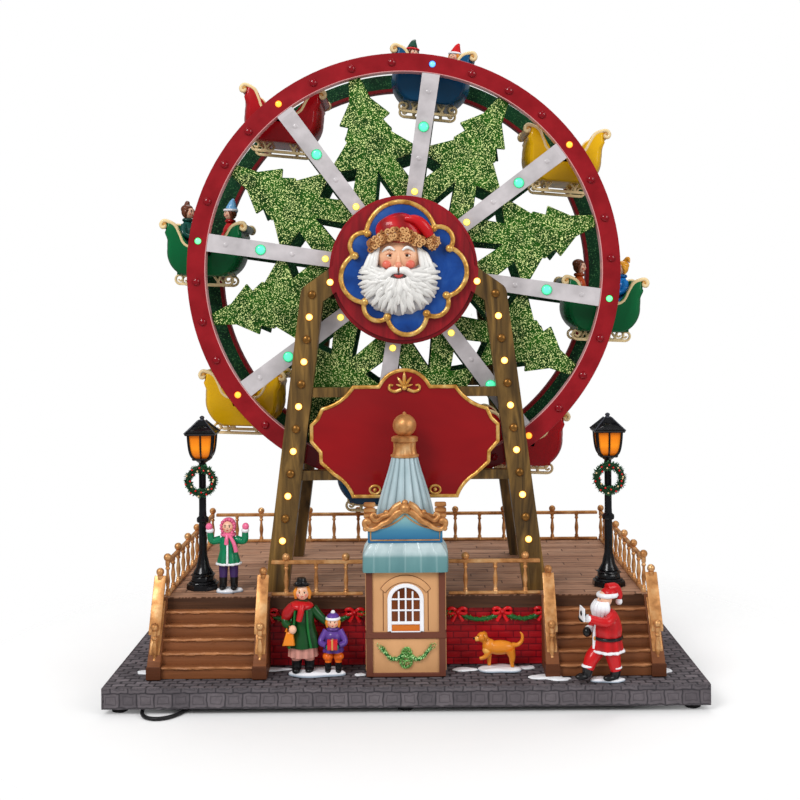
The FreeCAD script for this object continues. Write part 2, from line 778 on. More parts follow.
sash_line = arch(window_half - gap, window_foot + gap, size("window_height") - 2 * gap)
sash = plate(sash_line, booth_front + 1.4, 2.4)
lights = []
for column in range(4):
    for line in range(3):
        x = -window_half + 2 + column * (window_half * 2 - 4) / 4
        z = window_foot + 2 + line * (size("window_height") - 6) / 3
        lights.append(
            block(x + 0.4, x + (window_half * 2 - 4) / 4 - 0.4, booth_front + 1.3, booth_front + 2.4, z + 0.4,
                  z + (size("window_height") - 6) / 3 - 0.4)
        )
feature("booth_window", sash.cut(group(lights)))

eave = booth_half + size("awning_overhang")
awning_front = booth_front - 3
awning_back = awning_front + size("awning_depth")
skirt_top = booth_top + size("awning_skirt")
roof_top = skirt_top + size("awning_rise")
spire_y = (awning_front + awning_back) / 2 + 2


def rectangle(half, y0, y1, z):
    """A closed level rectangle."""
    corners = [Vector(-half, y0, z), Vector(half, y0, z), Vector(half, y1, z), Vector(-half, y1, z)]
    return Part.makePolygon(corners + corners[:1])


def fluted(radius, z):
    """A level oval ring of shallow flutes: twelve crests with hollows between them."""
    points = []
    for index in range(24):
        reach = radius * (1 if index % 2 else 0.93)
        turn = math.radians(index * 15)
        deep = reach * size("spire_depth") / size("spire_radius")
        points.append(Vector(reach * math.cos(turn), spire_y + deep * math.sin(turn), z))
    return Part.makePolygon(points + points[:1])


skirt = block(-eave, eave, awning_front, awning_back, booth_top, skirt_top)
slope = Part.makeLoft(
    [rectangle(eave, awning_front, awning_back, skirt_top),
     rectangle(eave - 3.6, awning_front + 3, awning_back - 3, roof_top)], True, True
)
spire = size("spire_radius")
spire_top = roof_top + size("spire_height")
cone = Part.makeLoft(
    [fluted(spire * 0.93, roof_top), fluted(spire, roof_top + 14), fluted(spire * 0.45, spire_top)],
    True, True
)
finial = size("finial_radius")
knop = turned(
    [(spire * 0.45, 0), (spire * 0.36, 10), (spire * 0.43, 10.6), (spire * 0.43, 12.6), (spire * 0.3, 13.4)],
    0, spire_y, spire_top,
)
crown = Part.makeSphere(finial, Vector(0, spire_y, spire_top + 12.6 + finial * 0.88))
tip = Part.makeCone(1.6, 0.5, 2.4, Vector(0, spire_y, spire_top + 12.2 + finial * 1.86))
feature("booth_roof", together([skirt, slope, cone, knop, crown, tip]))

crest_y = awning_front + 3
crest_thick = 1.4
crest_foot = roof_top + gap
board = plate(
    [(-booth_half + 0.5, crest_foot), (booth_half - 0.5, crest_foot), (booth_half - 0.5, roof_top + 11),
     ((10, roof_top + 13), (0, roof_top + 20)), ((-10, roof_top + 13), (-booth_half + 0.5, roof_top + 11))],
    crest_y, crest_thick,
)
scroll = plate(
    [(-booth_half - 0.5, roof_top + 10), ((-10, roof_top + 12), (0, roof_top + 19)),
     ((10, roof_top + 12), (booth_half + 0.5, roof_top + 10)), (booth_half + 0.5, roof_top + 15),
     ((13, roof_top + 17.5), (3, roof_top + 24)), ((0, roof_top + 25.6), (-3, roof_top + 24)),
     ((-13, roof_top + 17.5), (-booth_half - 0.5, roof_top + 15))],
    crest_y - 1, crest_thick + 1,
)
side_block = block(booth_half - 6.5, booth_half + 1, crest_y, crest_y + 5, roof_top + 12, roof_top + 25)
feature("booth_crest", together([board, scroll, side_block, mirrored(side_block)]))


# Lamps: a turned post, a lantern with its four corner bars and a hipped roof
lamp_x = size("lamp_spread")
lamp_y = deck_front + size("lamp_setback")
lamp = size("lamp_height")
base_r = size("lamp_base")
pole = size("pole_radius")


def square(half, z):
    """A level square about the lamp's axis."""
    corners = [Vector(x * half, y * half, z) for x, y in ((-1, -1), (1, -1), (1, 1), (-1, 1))]
    return Part.makePolygon(corners + corners[:1])


def hipped(low_half, low, high_half, high):
    """A square block that tapers from one level to another."""
    return Part.makeLoft([square(low_half, low), square(high_half, high)], True, True)


lantern_foot = lamp * 0.745
lantern_eave = lamp * 0.895
shaft = turned(
    [(base_r * 0.98, 0), (base_r * 0.98, 4), (base_r * 0.7, 5), (base_r * 0.72, 9), (base_r * 0.45, 12),
     (pole * 1.3, 18), (pole, 24), (pole, lamp * 0.38), (pole * 1.5, lamp * 0.39), (pole * 1.5, lamp * 0.41),
     (pole * 0.9, lamp * 0.42), (pole * 0.9, lamp * 0.73), (pole * 1.5, lamp * 0.738), (5.6, lantern_foot)],
    0, 0, 0,
)
tray = hipped(5.6, lantern_foot - 0.5, 5.6, lantern_foot + 0.8)
bars = [
    Part.makeLoft(
        [Part.makePolygon([Vector(x * 5.5, y * 5.5, lantern_foot), Vector(x * 4.5, y * 5.5, lantern_foot),
                           Vector(x * 4.5, y * 4.5, lantern_foot), Vector(x * 5.5, y * 4.5, lantern_foot),
                           Vector(x * 5.5, y * 5.5, lantern_foot)]),
         Part.makePolygon([Vector(x * 8.5, y * 8.5, lantern_eave + 0.2), Vector(x * 7.4, y * 8.5, lantern_eave + 0.2),
                           Vector(x * 7.4, y * 7.4, lantern_eave + 0.2), Vector(x * 8.5, y * 7.4, lantern_eave + 0.2),
                           Vector(x * 8.5, y * 8.5, lantern_eave + 0.2)])], True, True)
    for x in (-1, 1) for y in (-1, 1)
]
lantern_roof = [
    hipped(9.6, lantern_eave, 10.4, lantern_eave + 1.4), hipped(10.4, lantern_eave + 1.4, 5, lantern_eave + 5),
    hipped(5, lantern_eave + 5, 2, lantern_eave + 8),
]
lamp_tip = turned([(2, 0), (1.2, 1.2), (1.8, 2.2), (0.6, lamp - lantern_eave - 8)], 0, 0, lantern_eave + 8)
post_shape = together([shaft, tray] + bars + lantern_roof + [lamp_tip])
panes = hipped(4.3, lantern_foot + 1, 7.2, lantern_eave - 0.2)
wreath = Part.makeTorus(size("wreath_radius"), size("wreath_thick"), Vector(0, 0, 0), Vector(0, 1, 0))


def at(shape, x, y, z):
    """A copy of a shape, moved."""
    moved = shape.copy()
    moved.translate(Vector(x, y, z))
    return moved


feature("lamp_posts", group([at(post_shape, side * lamp_x, lamp_y, deck_top) for side in (-1, 1)]))
feature("lamp_panes", group([at(panes, side * lamp_x, lamp_y, deck_top) for side in (-1, 1)]))
wreath_y = lamp_y - pole * 0.9 - size("wreath_thick") - gap
feature("wreaths", group([at(wreath, side * lamp_x, wreath_y, deck_top + lamp * 0.627) for side in (-1, 1)]))


# Frames: two A-shaped frames whose heads carry the axle
thick = size("frame_thick")
leg = size("leg_width")
foot_x, top_x = size("foot_spread"), size("shoulder_spread")
shoulder_z = hub - size("shoulder_drop")
lean = (foot_x - top_x) / (shoulder_z - deck_top)
bush_r = size("axle_radius") + size("bush_wall")
lower_bar = deck_top + size("lower_bar_rise")
upper_bar = deck_top + size("upper_bar_rise")
light = size("light_radius")
arm_end = (size("head_radius") * 0.6, hub + 6)


def leg_x(z):
    """Where the leg's middle line is at a height."""
    return top_x + (shoulder_z - z) * lean


def frame_shape(y):
    """A frame: legs that lean in, shoulders up to a round head, and two cross bars."""
    half = leg / 2 / math.cos(math.atan(lean))
    shapes = [disc(size("head_radius"), y, y + thick, 0, hub)]
    for side in (-1, 1):
        corners = [(side * (foot_x - half), deck_top), (side * (foot_x + half), deck_top),
                   (side * (top_x + half), shoulder_z), (side * (top_x - half), shoulder_z)]
        shapes.append(plate(corners, y, thick))
        shapes.append(beam((side * top_x, shoulder_z), (side * arm_end[0], arm_end[1]), leg, y, thick))
        shapes.append(disc(leg / 2, y, y + thick, side * top_x, shoulder_z))
    for level in (lower_bar, upper_bar):
        reach = leg_x(level)
        tall = size("bar_height") / 2
        shapes.append(block(-reach, reach, y + 1, y + thick - 1, level - tall, level + tall))
    return together(shapes).cut(disc(bush_r + run, y - 1, y + thick + 1, 0, hub))


pitch = size("light_pitch") * math.cos(math.atan(lean))
light_top = shoulder_z - 14
light_places = [(0.8 * top_x, hub - 8)]
light_places += [(leg_x(light_top - k * pitch), light_top - k * pitch) for k in range(6)]
stud_places = [(leg_x(light_top + (0.5 - k) * pitch), light_top + (0.5 - k) * pitch) for k in range(6)]
light_places = [(side * x, z) for x, z in light_places for side in (-1, 1)]
stud_places = [(side * x, z) for x, z in stud_places for side in (-1, 1)]


def dome(radius, height, x, y, z, back=0.3):
    """A low dome that stands forward of y on a round stem as deep as back, turned as one profile."""
    reach = (radius * radius + height * height) / (2 * height)
    half_turn = math.asin(radius / reach) / 2
    tip, rim = Vector(x, y - height, z), Vector(x + radius, y, z)
    middle = Vector(x + reach * math.sin(half_turn), y - height + reach * (1 - math.cos(half_turn)), z)
    stem_edge, stem_end = Vector(x + radius, y + back, z), Vector(x, y + back, z)
    edges = [
        Part.Arc(tip, middle, rim).toShape(), Part.makeLine(rim, stem_edge), Part.makeLine(stem_edge, stem_end),
        Part.makeLine(stem_end, tip),
    ]
    return Part.Face(Part.Wire(edges)).revolve(Vector(x, 0, z), Vector(0, 1, 0), 360)


def lamp_bulb(radius, depth, x, y, z):
    """A bulb: a stem of the given depth behind y and a rounded nose in front of it."""
    return dome(radius, 1.2, x, y - 0.4, z, depth + 0.4)


front = frame_shape(frame_front)
for x, z in light_places:
    front = front.cut(disc(light + run, frame_front - 1, frame_front + 7, x, z))
front = together([front] + [dome(size("stud_radius"), 1.4, x, frame_front, z) for x, z in stud_places])
feature("frame_front", front)
feature("frame_back", frame_shape(rear_frame).cut(
    disc(size("pinion_teeth") * size("gear_module") / 2 + 2, rear_frame - 1, rear_frame + thick + 1, 0,
         value(MOTOR_HEIGHT))))
feature("frame_lights", group([lamp_bulb(light, 6, x, frame_front, z) for x, z in light_places]))

# Sign board: hung on the cross bars of the front frame
sign_half = size("sign_half_width")
sign_tall = size("sign_height")
sign_low = lower_bar - 14
sign_high = sign_low + sign_tall


def right_side(points):
    """Corners given as shares of the half width and the height of the sign."""
    return [(sign_half * x, sign_low + sign_tall * z) for x, z in points]


right = right_side([(0.56, 0), (0.75, 0.17), (0.9, 0.27), (0.905, 0.35), (1, 0.43), (1, 0.57), (0.93, 0.62),
                    (0.88, 0.7), (0.55, 0.87), (0.28, 0.87)])
knee, hip = right_side([(0.66, 0.12), (0.68, 0.765)])
sign_items = [right[0], (knee, right[1]), *right[2:8], (hip, right[8]), right[9],
              ((0, sign_high), (-right[9][0], right[9][1])), (-right[8][0], right[8][1]),
              ((-hip[0], hip[1]), (-right[7][0], right[7][1]))]
sign_items += [(-x, z) for x, z in reversed(right[1:7])]
sign_items += [((-knee[0], knee[1]), (-right[0][0], right[0][1]))]
sign_back = frame_front + 1 - gap
feature("sign_board", plate(sign_items, sign_back - size("sign_thick"), size("sign_thick")))

# Medallion: a lobed plate on the front frame's head, with a raised border and a head in relief
cusps = [49, 131, 160.5, 216, 247, 293, 324, 379.5]
swells = [1, 0.89, 0.945, 0.89, 0.98, 0.89, 0.945, 0.89]
medallion_r = size("medallion_radius")
spin = size("medallion_turn")


def lobed(scale, y, thickness):
    """The lobed outline: an arc between each two cusps, at a share of the full size."""
    items = []
    for index in range(len(cusps)):
        before = cusps[index - 1] - (360 if index == 0 else 0)
        middle = polar(medallion_r * swells[index - 1] * scale, (before + cusps[index]) / 2 + spin)
        items.append((middle, polar(medallion_r * 0.79 * scale, cusps[index] + spin)))
    return plate(items, y, thickness)


medallion_back = frame_front - gap
medallion_y = medallion_back - size("medallion_thick")
shield = lobed(1, medallion_y, size("medallion_thick"))
shield = shield.cut(lobed(0.9, medallion_y - 1, 2))
balls_on = [Part.makeSphere(2, Vector(polar(medallion_r * 0.77, a + spin)[0], medallion_y,
                                      polar(medallion_r * 0.77, a + spin)[1])) for a in cusps]
feature("medallion", together([shield] + balls_on))

relief_y = medallion_y + 1 - gap
face = egg(-3, relief_y, hub + 2, 16, 9, 17)
beard = egg(-3, relief_y, hub - 9, 24, 8, 17.5)
hat = [egg(-1, relief_y, hub + 22, 16, 8, 13), egg(-2, relief_y, hub + 14, 18.5, 9.5, 7)]
bobble = egg(18, relief_y, hub + 16, 6, 6, 6)
head = together([face, beard] + hat + [bobble])
feature("medallion_head", head.common(block(-60, 60, relief_y - 20, relief_y, hub - 60, hub + 60)))

# Wheel: the front rim with its bosses, the spoke star, the tree plate, the rear moulding and the lights
outer = size("wheel_radius")
inner = outer - size("rim_width")
pin_reach = outer - size("rim_width") / 2
count = number("car_count")
step = 360 / count
spokes = [size("wheel_turn") + step * index for index in range(count)]
bulb_depth = 3
socket = 3.4
pin = size("pin_radius")
boss_r = 3.4
sleigh_half = size("sleigh_width") / 2
gap_mid = (front_gap + rear_gap) / 2
sleigh_front = gap_mid - sleigh_half
sleigh_back = gap_mid + sleigh_half


def ring(radius, hole, y0, y1):
    """A flat ring about the wheel's axis."""
    return disc(radius, y0, y1, 0, hub).cut(disc(hole, y0 - 1, y1 + 1, 0, hub))


rim = ring(outer, inner, wheel_front, front_gap)
studs, bosses, holes_made = [], [], []
for angle in spokes:
    x, z = polar(pin_reach, angle)
    bosses.append(disc(boss_r, front_gap - 0.5, sleigh_front - size("side_gap"), x, z))
    holes_made.append(disc(pin + run, front_gap - socket, sleigh_front, x, z))
    holes_made.append(disc(light + run, wheel_front - 1, wheel_front + bulb_depth + run, x, z))
    for share in (0.25, 0.5, 0.75):
        x, z = polar(pin_reach, angle + step * share)
        studs.append(dome(size("stud_radius"), 1.4, x, wheel_front, z))
feature("rim_front", together([rim] + bosses + studs).cut(group(holes_made)))

spoke_back = wheel_front + size("spoke_thick")
hub_r = size("hub_radius")
star = [disc(hub_r - 1, wheel_front, spoke_back, 0, hub)]
star_holes = [disc(size("axle_radius") + run, wheel_front - 1, spoke_back + 1, 0, hub)]
spoke_bumps = []
for angle in spokes:
    root, tip_end = polar(hub_r * 0.8, angle), polar(inner - gap, angle)
    side_x, side_z = -math.sin(math.radians(angle)), math.cos(math.radians(angle))
    wide, slim_end = size("spoke_width") / 2, size("spoke_width") * 0.42
    corners = [(root[0] + side_x * slim_end, root[1] + side_z * slim_end),
               (root[0] - side_x * slim_end, root[1] - side_z * slim_end),
               (tip_end[0] - side_x * wide, tip_end[1] - side_z * wide),
               (tip_end[0] + side_x * wide, tip_end[1] + side_z * wide)]
    inside = disc(inner - gap, wheel_front, spoke_back, 0, hub)
    star.append(plate(corners, wheel_front, size("spoke_thick")).common(inside))
    for reach in (hub_r * 1.52, inner * 0.906):
        x, z = polar(reach, angle)
        spoke_bumps.append(dome(2, 0.7, x, wheel_front, z))
    for reach, radius in ((hub_r + 3.2, light), (inner * 0.728, size("lens_radius"))):
        x, z = polar(reach, angle)
        star_holes.append(disc(radius + run, wheel_front - 1, spoke_back + 1, x, z))
feature("spokes_front", together(star + spoke_bumps).cut(group(star_holes)))

hub_plate = disc(hub_r, wheel_front - size("hub_thick") - gap, wheel_front - gap, 0, hub)
feature("hub_disc", hub_plate.cut(disc(size("axle_radius") + run, wheel_front - 9, wheel_front, 0, hub)))

# Half of a fir tree between two spokes: shares of the rim's inner radius, across and outward
TREE = [(0.03, 1), (0.055, 0.89), (0.133, 0.79), (0.091, 0.77), (0.124, 0.71), (0.115, 0.7), (0.207, 0.61),
        (0.202, 0.565), (0.1, 0.556), (0.126, 0.5), (0.152, 0.44), (0.14, 0.34), (0.06, 0.3), (0.053, 0.37),
        (0.02, 0.465), (0, 0.52)]


def trees(y, thickness, reach):
    """Eight fir trees with splayed trunks that meet a ring about the hub, as one flat plate."""
    shapes = [ring(hub_r - 2, hub_r * 0.42, y, y + thickness)]
    for angle in spokes:
        turn = math.radians(angle + step / 2)
        across = (-math.sin(turn), math.cos(turn))
        outward = (math.cos(turn), math.sin(turn))
        points = TREE + [(-u, v) for u, v in reversed(TREE[:-1])]
        corners = [(reach * (u * across[0] + v * outward[0]), hub + reach * (u * across[1] + v * outward[1]))
                   for u, v in points]
        shapes.append(plate(corners, y, thickness))
    whole = together(shapes)
    return whole.common(disc(reach, y, y + thickness, 0, hub))


tree_y = spoke_back + gap
barrel = size("barrel_radius")
feature("trees_front", trees(tree_y, size("tree_thick"), inner - gap))

rear = [ring(outer, inner, rear_gap, rear_gap + size("rim_thick"))]
rear.append(trees(rear_gap, size("tree_thick"), inner + 1))
for angle in spokes:
    rear.append(beam(polar(hub_r * 0.6, angle), polar(inner + 1, angle), size("spoke_width"), rear_gap,
                     size("tree_thick")))
    x, z = polar(pin_reach, angle)
    rear.append(disc(boss_r, sleigh_back + size("side_gap"), rear_gap + 0.5, x, z))
    rear.append(disc(pin, front_gap - socket + gap, rear_gap + 1, x, z))
rear.append(disc(barrel * 1.6, rear_gap, rear_gap + size("tree_thick"), 0, hub))
rear.append(disc(barrel, tree_y + size("tree_thick") + gap, rear_gap + 1, 0, hub))
rear.append(ring(hub_r * 0.5, barrel * 0.9, rear_gap, rear_gap + size("tree_thick")))
axle_hole = disc(size("axle_radius") + run, front_gap - 20, rear_gap + 40, 0, hub)
feature("wheel_back", together(rear).cut(axle_hole))

lights_on_wheel = []
for angle in spokes:
    x, z = polar(pin_reach, angle)
    lights_on_wheel.append(lamp_bulb(light, bulb_depth, x, wheel_front, z))
    x, z = polar(hub_r + 3.2, angle)
    lights_on_wheel.append(lamp_bulb(light, bulb_depth, x, wheel_front, z))
    x, z = polar(inner * 0.728, angle)
    lights_on_wheel.append(lamp_bulb(size("lens_radius"), bulb_depth, x, wheel_front, z))
feature("wheel_lights", group(lights_on_wheel))

# Axle, bushes and gears
AXLE_START = f"({FRAME_FRONT} + 1)"
keep(
    rod("axle", "sizes.axle_radius", f"{CASE_FRONT} + 6 - {AXLE_START}", "0", AXLE_START,
        "sizes.hub_height", "y"),
    "wheel_axle",
)
bushes = []
for name, place in (("front", FRAME_FRONT), ("rear", REAR_FRAME)):
    sleeve = rod(
        f"{name}_sleeve", "sizes.axle_radius + sizes.bush_wall", "sizes.frame_thick", "0", place,
        "sizes.hub_height", "y",
    )
    bore = rod(
        f"{name}_bore", "sizes.axle_radius + sizes.running_gap", "sizes.frame_thick", "0", place,
        "sizes.hub_height", "y",
    )
    bushes.append(cut(f"{name}_bush", sleeve, bore))
keep(compound("bushes", bushes), "axle_bushes")


def gear(teeth, y0, y1, x, z, offset):
    """A spur gear with plain trapezoid teeth."""
    module = size("gear_module")
    base, top = module * teeth / 2 - 1.1 * module, module * teeth / 2 + 0.85 * module
    points = []
    for tooth in range(teeth):
        for share, radius in ((-0.3, base), (-0.13, top), (0.13, top), (0.3, base)):
            turn = 2 * math.pi * (tooth + share + offset) / teeth
            points.append((x + radius * math.cos(turn), z + radius * math.sin(turn)))
    return plate(points, y0, y1 - y0)


gear_y = value(WHEEL_BACK) + 2.4
gear_end = gear_y + size("gear_thick")
axle_gear = gear(number("gear_teeth"), gear_y, gear_end, 0, hub, 0)
collar = disc(8, value(WHEEL_BACK) - size("rim_thick") + size("tree_thick") + gap, gear_y + 1, 0, hub)
feature("axle_gear", together([axle_gear, collar]).cut(axle_hole))

motor_z = value(MOTOR_HEIGHT)
case_front = value(CASE_FRONT)
motor_y = case_front + 2
pinion = gear(number("pinion_teeth"), gear_y, gear_end, 0, motor_z, 0.0)
shaft_long = disc(1.5, gear_y, motor_y + 3, 0, motor_z)
feature("motor_pinion", together([pinion, shaft_long]))

# Motor: a can with its mounting nose and the bore for the pinion's shaft, inside its case
can = rod("can", "sizes.motor_radius", "sizes.motor_length", "0", f"{CASE_FRONT} + 2", MOTOR_HEIGHT, "y")
nose = rod("nose", "6", "2", "0", CASE_FRONT, MOTOR_HEIGHT, "y")
motor_bore = rod("motor_bore", "1.5 + sizes.running_gap", "6", "0", CASE_FRONT, MOTOR_HEIGHT, "y")
keep(cut("drive_motor", fuse("motor_solid", [can, nose]), motor_bore), "motor")

# Motor case: a round cover over the axle's end and the motor, screwed to the rear frame
case_body = doc.addObject("PartDesign::Body", "motor_case")
CASE_RADIUS = f"({MESH} / 2 + sizes.motor_radius + 6)"
case_sketch = sketch_in(case_body, "XY_Plane", "case_outline")
ring_in(case_sketch, CASE_RADIUS)
pad(case_body, case_sketch, "case_drum", "sizes.case_depth")
case_inside = sketch_in(case_body, "XY_Plane", "case_inside")
ring_in(case_inside, f"{CASE_RADIUS} - sizes.case_wall")
pocket(case_body, case_inside, "case_hollow", "sizes.case_depth - sizes.case_wall", True)
case_body.Placement.Rotation = Rotation(Vector(1, 0, 0), -90)
bind(case_body, x="0", y=CASE_FRONT, z=f"sizes.hub_height - {MESH} / 2")
keep(case_body, "motor_case")

# Sleighs: a tub with curled ends, two runners and two ears that hang on the wheel's pins, tipped a little
SLEIGHS = {
    "yellow_upper_right": 5, "blue_top": 6.5, "red_upper_left": 5.5, "green_left": 2, "yellow_lower_left": 2,
    "blue_bottom": 2, "red_lower_right": 2, "green_right": 2.5,
}
half_long = size("sleigh_length") / 2
wall = size("sleigh_wall")
belly = -size("sleigh_drop")
floor_z = -size("seat_drop")
curl_x, curl_z, curl_r = half_long - 0.9, 11.2, 2.9


def both_sides(items):
    """An outline's right half, from its lowest point to its highest, and the same mirrored."""
    corners = [item[-1] if isinstance(item[0], tuple) else item for item in items]
    left = []
    for index in range(len(items) - 1, 0, -1):
        end = (-corners[index - 1][0], corners[index - 1][1])
        item = items[index]
        left.append(((-item[0][0], item[0][1]), end) if isinstance(item[0], tuple) else end)
    return items + [(-corners[-1][0], corners[-1][1])] + left


def barrel_plan(half_mid, half_end, y0, y1):
    """A tall block whose two ends bulge in plan, from half_end at its faces to half_mid at its middle."""
    low, middle = -size("wheel_radius"), (y0 + y1) / 2
    corners = [(-half_end, y0), (half_end, y0), (half_end, y1), (-half_end, y1)]
    a, b, c, d = [Vector(x, y, low) for x, y in corners]
    edges = [
        Part.makeLine(a, b), Part.Arc(b, Vector(half_mid, middle, low), c).toShape(),
        Part.makeLine(c, d), Part.Arc(d, Vector(-half_mid, middle, low), a).toShape(),
    ]
    return Part.Face(Part.Wire(edges)).extrude(Vector(0, 0, -2 * low))


bar_thick = size("runner_thick")


def runner(y):
    """A runner: a flat bar with a scroll at each end, and two slanting struts to the tub."""
    half, low = half_long * 0.62, -size("runner_drop")
    shapes = [block(-half, half, y, y + bar_thick, low, low + bar_thick)]
    for side in (-1, 1):
        shapes.append(disc(3.6, y, y + bar_thick, side * half, low + 3.6))
        shapes.append(beam((side * 7, belly + 2), (side * 12.6, low + 1), 2, y, bar_thick))
        shapes.append(beam((side * half, low + 4), (side * half * 0.9, belly + 4), 2.4, y, bar_thick))
    return shapes


def sleigh():
    """A sleigh hung at the origin, with its seat hollow cut out from above."""
    wide = sleigh_back - sleigh_front
    side = plate(both_sides([
        (half_long * 0.53, belly), ((half_long * 0.89, -15.4), (half_long, -4)),
        ((half_long, 1), (half_long * 0.93, 8)), (half_long * 0.92, 14.1),
        ((half_long * 0.7, 11.6), (half_long * 0.58, 5.4)), ((half_long * 0.49, -0.2), (9, -3)),
    ]), sleigh_front, wide)
    tub = side.common(barrel_plan(half_long, half_long * 0.84, sleigh_front, sleigh_back))
    lip = side.common(block(-60, 60, sleigh_front, sleigh_back, 7, 60))
    curls = [disc(curl_r, sleigh_front, sleigh_back, end * curl_x, curl_z) for end in (-1, 1)]
    seat = plate(both_sides([
        (half_long * 0.72, floor_z), ((half_long * 0.84, floor_z + 4), (half_long * 0.88, -4)),
        (half_long * 0.84, 30),
    ]), sleigh_front + wall, wide - 2 * wall)
    hollow = barrel_plan(half_long - wall, half_long * 0.84 - wall, sleigh_front + wall, sleigh_back - wall)
    seat = seat.common(hollow)
    ear = [(-6, -8), (6, -8), (6, -2), ((0, 4), (-6, -2))]
    ears = [plate(ear, y, wall) for y in (sleigh_front, sleigh_back - wall)]
    middle = (sleigh_front + sleigh_back) / 2
    runners = [runner(middle + way * size("runner_gap") / 2 - bar_thick / 2) for way in (-1, 1)]
    hung = tub.multiFuse([lip] + curls).cut(seat).multiFuse(ears + runners[0] + runners[1])
    return hung.cut(disc(pin + run, sleigh_front - 1, sleigh_back + 1, 0, 0))


def rider(x, hat):
    """A seated rider: a rounded coat, a head and a hat, on the seat of a sleigh hung at the origin."""
    tall = size("rider_height")
    coat = turned([(3.4, 0), (4.6, tall * 0.1), (5, tall * 0.3), (4.4, tall * 0.5), (2.4, tall * 0.6)],
                  x, gap_mid, floor_z + gap)
    head_ball = Part.makeSphere(tall * 0.115, Vector(x, gap_mid, floor_z + tall * 0.7))
    cap_line = [(tall * 0.12, 0), (tall * 0.1, tall * 0.1), (tall * 0.03, hat)]
    cap = turned(cap_line, x, gap_mid, floor_z + tall * 0.72)
    shoulders = egg(x, gap_mid, floor_z + tall * 0.46, 4.6, 7.5, 4.4)
    return together([coat, head_ball, cap, shoulders])


sleigh_shape = sleigh()
couple = group([rider(-14.5, size("rider_height") * 0.24), rider(14.5, size("rider_height") * 0.24)])
for angle, (colour, tip_by) in zip(spokes, SLEIGHS.items()):
    x, z = polar(pin_reach, angle)
    feature(f"sleigh_{colour}", sleigh_shape, x, z, tip_by)
    if colour in ("blue_top", "green_left", "green_right"):
        feature(f"riders_{colour}", couple, x, z, tip_by)


# Figures: small painted castings on snowy stands
def person(tall, x, y, z, skirt, hat, arms):
    """A standing figure: two legs, a coat that flares to a skirt, a head, a hat and two arms."""
    legs = [Part.makeCone(tall * 0.06, tall * 0.05, tall * 0.4, Vector(x + side * tall * 0.065, y, z))
            for side in (-1, 1)]
    coat = turned([(skirt, tall * 0.26), (skirt * 0.92, tall * 0.36), (tall * 0.12, tall * 0.52),
                   (tall * 0.13, tall * 0.66), (tall * 0.06, tall * 0.74)], x, y, z)
    head_at = Vector(x, y, z + tall * 0.8)
    parts = legs + [coat, Part.makeSphere(tall * 0.09, head_at)]
    parts.append(turned([(tall * 0.1, tall * 0.82), (tall * 0.09, tall * 0.9), (hat, tall)], x, y, z))
    for side, (reach, lift) in zip((-1, 1), arms):
        shoulder = Vector(x + side * tall * 0.08, y, z + tall * 0.66)
        hand = Vector(x + side * tall * reach, y - tall * 0.06, z + tall * lift)
        parts += [bar(shoulder, hand, tall * 0.045), Part.makeSphere(tall * 0.055, hand)]
    return parts


def stand(x, y, z, rx, ry, high):
    """A low stand with sloping edges."""
    foot = egg(x, y, z, rx, ry, high)
    return foot.common(block(x - rx, x + rx, y - ry, y + ry, z, z + high))


girl = size("girl_height")
girl_x, girl_y = -113.8, lamp_y - 10
raised = ((0.36, 0.86), (0.36, 0.86))
girl_parts = person(girl - 2, girl_x, girl_y, deck_top + 1.4, girl * 0.17, girl * 0.05, raised)
feature("figure_girl", together(girl_parts + [stand(girl_x, girl_y, deck_top, 9.5, 6.5, 2.4)]))

family_y = stair_front + 10
woman, child = size("woman_height"), size("child_height")
family_x, woman_left, child_right = -55, 8, 10.5
hanging = ((0.24, 0.4), (0.2, 0.42))
holding = ((0.14, 0.55), (0.2, 0.5))
family = person(woman - 2, family_x - woman_left, family_y, plinth_top + 1.4, woman * 0.19, woman * 0.07,
                hanging)
family += person(child - 2, family_x + child_right, family_y - 0.7, plinth_top + 1.4, child * 0.17,
                 child * 0.06, holding)
feature("figure_family", together(family + [stand(family_x, family_y, plinth_top, 19.5, 8.5, 2.8)]))

dog = size("dog_length")
dog_x, dog_y = 57.7, booth_front + 14
dog_z = plinth_top + 1.2
dog_parts = [egg(dog_x, dog_y, dog_z + dog * 0.42, dog * 0.33, dog * 0.13, dog * 0.15),
             egg(dog_x - dog * 0.36, dog_y, dog_z + dog * 0.64, dog * 0.13, dog * 0.11, dog * 0.12),
             egg(dog_x - dog * 0.47, dog_y, dog_z + dog * 0.6, dog * 0.08, dog * 0.06, dog * 0.06),
             bar(Vector(dog_x - dog * 0.22, dog_y, dog_z + dog * 0.46),
                 Vector(dog_x - dog * 0.36, dog_y, dog_z + dog * 0.62), dog * 0.08),
             bar(Vector(dog_x + dog * 0.28, dog_y, dog_z + dog * 0.46),
                 Vector(dog_x + dog * 0.47, dog_y, dog_z + dog * 0.74), dog * 0.04)]
for x in (-0.24, 0.24):
    for y in (-0.07, 0.07):
        dog_parts.append(bar(Vector(dog_x + x * dog, dog_y + y * dog, dog_z - 0.8),
                             Vector(dog_x + x * dog, dog_y + y * dog, dog_z + dog * 0.4), dog * 0.05))
feature("figure_dog", together(dog_parts + [stand(dog_x, dog_y, plinth_top, 16, 8, 2.2)]))

santa = size("santa_height")
santa_y = stair_front - 6.6
santa_parts = person(santa - 2, centre, santa_y, plinth_top + 1.2, santa * 0.14, santa * 0.05,
                     ((0.3, 0.72), (0.26, 0.46)))
feature("figure_santa", together(santa_parts + [stand(centre, santa_y, plinth_top, 12, 6, 2)]))

